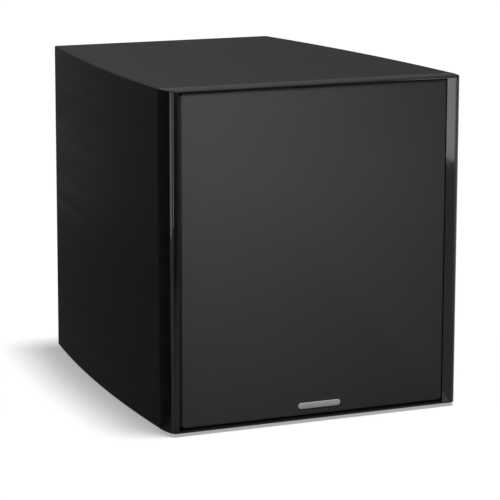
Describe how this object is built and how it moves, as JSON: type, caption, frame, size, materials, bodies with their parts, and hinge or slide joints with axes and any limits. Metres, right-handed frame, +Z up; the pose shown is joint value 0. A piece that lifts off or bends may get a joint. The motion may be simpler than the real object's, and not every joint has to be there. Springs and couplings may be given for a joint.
{
  "type": "powered subwoofer",
  "caption": "Powered subwoofer with curved wood-veneer sides, gloss front pillars, cloth grille, long-throw driver and rear plate amplifier.",
  "frame": {"origin": "on the floor, below the middle of the bounding box", "axes": "+Z up, the grille faces -Y, +X to the right seen from the front"},
  "size_m": [0.4, 0.5318, 0.424],
  "materials": {
    "gloss_black": "high gloss",
    "black_veneer": "satin black-stained veneer",
    "raw_board": "raw fibreboard",
    "black_board": "matte black painted board",
    "grille_cloth": "fine black knit",
    "black_plastic": "fine moulded texture",
    "rubber": "matte",
    "foam": "closed-cell foam",
    "cast_aluminium": "black powder coat",
    "cone_paper": "black coated paper",
    "spider_cloth": "resin-treated weave",
    "copper": "enamelled wire",
    "ferrite": "ground",
    "zinc_steel": "zinc plated",
    "black_steel": "black oxide",
    "anodised_plate": "black anodised",
    "badge_metal": "satin",
    "circuit_board": "solder mask",
    "winding_wrap": "wrapped tape",
    "cable_jacket": "soft jacket"
  },
  "bodies": {
    "cabinet": {"front_bezel": "gloss_black", "top_panel": "black_veneer", "bottom_panel": "black_veneer", "left_side_panel": "black_veneer", "right_side_panel": "black_veneer", "rear_panel": "black_board", "front_baffle": "black_board", "window_brace": "raw_board", "foot_front_left": "rubber", "foot_front_right": "rubber", "foot_rear_left": "rubber", "foot_rear_right": "rubber", "grille_socket_top_left": "rubber", "grille_socket_top_right": "rubber", "grille_socket_bottom_left": "rubber", "grille_socket_bottom_right": "rubber", "driver_basket": "cast_aluminium", "driver_gasket": "foam", "driver_trim_ring": "rubber", "surround": "rubber", "spider": "spider_cloth", "magnet_front_plate": "zinc_steel", "magnet_ring": "ferrite", "magnet_yoke": "zinc_steel", "driver_screw_1": "black_steel", "driver_screw_2": "black_steel", "driver_screw_3": "black_steel", "driver_screw_4": "black_steel", "driver_screw_5": "black_steel", "driver_screw_6": "black_steel", "amp_plate": "anodised_plate", "amp_gasket": "foam", "heat_sink": "anodised_plate", "amp_board": "circuit_board", "control_board": "circuit_board", "ring_transformer": "winding_wrap", "transformer_clamp": "zinc_steel", "line_jack_block": "black_plastic", "mains_inlet": "black_plastic", "power_switch_housing": "black_plastic", "mode_switch_housing": "zinc_steel", "amp_screw_1": "black_steel", "amp_screw_2": "black_steel", "amp_screw_3": "black_steel", "amp_screw_4": "black_steel", "amp_screw_5": "black_steel", "amp_screw_6": "black_steel", "speaker_lead": "cable_jacket"},
    "cone_assembly": {"cone": "cone_paper", "dust_cap": "cone_paper", "voice_coil": "copper"},
    "grille": {"grille_frame": "black_plastic", "grille_cloth": "grille_cloth", "grille_badge": "badge_metal"},
    "level_knob": {"level_knob": "black_plastic"},
    "crossover_knob": {"crossover_knob": "black_plastic"},
    "phase_knob": {"phase_knob": "black_plastic"},
    "power_rocker": {"power_rocker": "black_plastic"},
    "mode_slider": {"mode_slider": "black_plastic"},
    "fuse_drawer": {"fuse_drawer": "black_plastic"}
  },
  "joints": [
    {"name": "cone_excursion", "type": "slide", "parent": "cabinet", "child": "cone_assembly", "axis": [0, -1, 0], "range_m": [-0.011, 0.011], "stiffness_N_per_m": 4000, "deforming": ["surround", "spider"]},
    {"name": "grille_lift_off", "type": "slide", "parent": "cabinet", "child": "grille", "axis": [0, -1, 0], "range_m": [0, 0.06]},
    {"name": "level_turn", "type": "hinge", "parent": "cabinet", "child": "level_knob", "pos_m": [0.062, 0.24365, 0.23], "axis": [0, 1, 0], "range_deg": [-150, 150]},
    {"name": "crossover_turn", "type": "hinge", "parent": "cabinet", "child": "crossover_knob", "pos_m": [0, 0.24365, 0.23], "axis": [0, 1, 0], "range_deg": [-150, 150]},
    {"name": "phase_turn", "type": "hinge", "parent": "cabinet", "child": "phase_knob", "pos_m": [-0.062, 0.24365, 0.23], "axis": [0, 1, 0], "range_deg": [-150, 150]},
    {"name": "power_rock", "type": "hinge", "parent": "cabinet", "child": "power_rocker", "pos_m": [0.07, 0.24315, 0.112], "axis": [1, 0, 0], "range_deg": [0, 16]},
    {"name": "mode_slide", "type": "slide", "parent": "cabinet", "child": "mode_slider", "axis": [1, 0, 0], "range_m": [-0.0035, 0.0035]},
    {"name": "fuse_drawer_slide", "type": "slide", "parent": "cabinet", "child": "fuse_drawer", "axis": [0, 1, 0], "range_m": [0, 0.018]}
  ]
}
